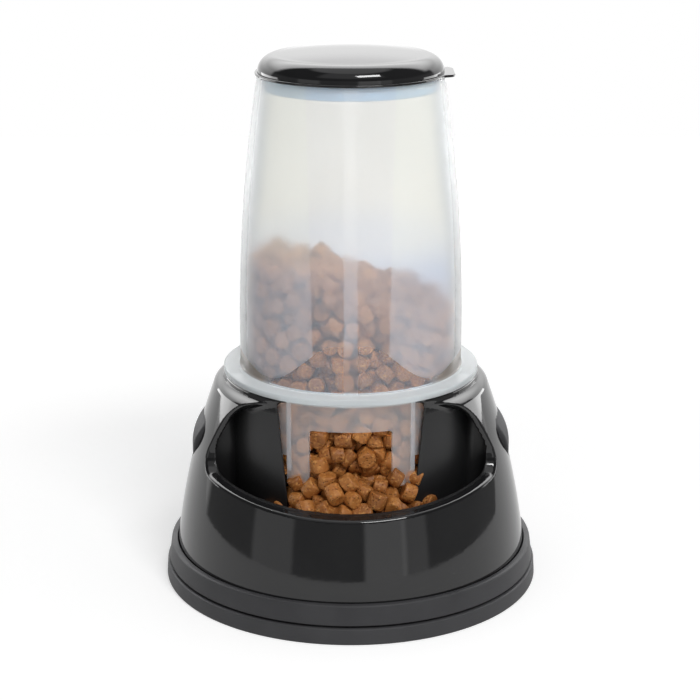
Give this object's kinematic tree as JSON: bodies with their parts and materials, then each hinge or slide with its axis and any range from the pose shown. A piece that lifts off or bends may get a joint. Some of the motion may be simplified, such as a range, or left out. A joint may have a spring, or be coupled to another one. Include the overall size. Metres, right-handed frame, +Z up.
{
  "type": "gravity pet feeder",
  "caption": "Gravity pet feeder: a frosted lift-off hopper with a snap lid on a round base with a front bowl.",
  "frame": {"origin": "on the floor, at the centre of the round base", "axes": "+Z up along the hopper's axis, -Y to the front where the bowl opens, +X to the viewer's right, where the lid's pull tab points"},
  "size_m": [0.2506, 0.2506, 0.3529],
  "materials": {
    "lid_plastic": "black, high gloss",
    "seal_plastic": "milky blue-grey, satin",
    "frosted_plastic": "translucent polypropylene, frosted with a clear front strip",
    "base_plastic": "black, high gloss",
    "ramp_plastic": "black, satin gloss",
    "foot_plastic": "dark grey, matte",
    "foot_rubber": "dark grey, matte",
    "grip_plastic": "dark grey, matte"
  },
  "bodies": {
    "base": {"base_shell": "base_plastic", "food_ramp": "ramp_plastic", "foot_ring": "foot_plastic", "non_slip_band": "foot_rubber", "grip_left": "grip_plastic", "grip_right": "grip_plastic"},
    "hopper": {"hopper": "frosted_plastic"},
    "lid": {"lid": "lid_plastic", "lid_seal": "seal_plastic"}
  },
  "joints": [
    {"name": "hopper_lift", "type": "slide", "parent": "base", "child": "hopper", "axis": [0, 0, 1], "range_m": [0, 0.08]},
    {"name": "lid_lift", "type": "slide", "parent": "hopper", "child": "lid", "axis": [0, 0, 1], "range_m": [0, 0.04]}
  ]
}
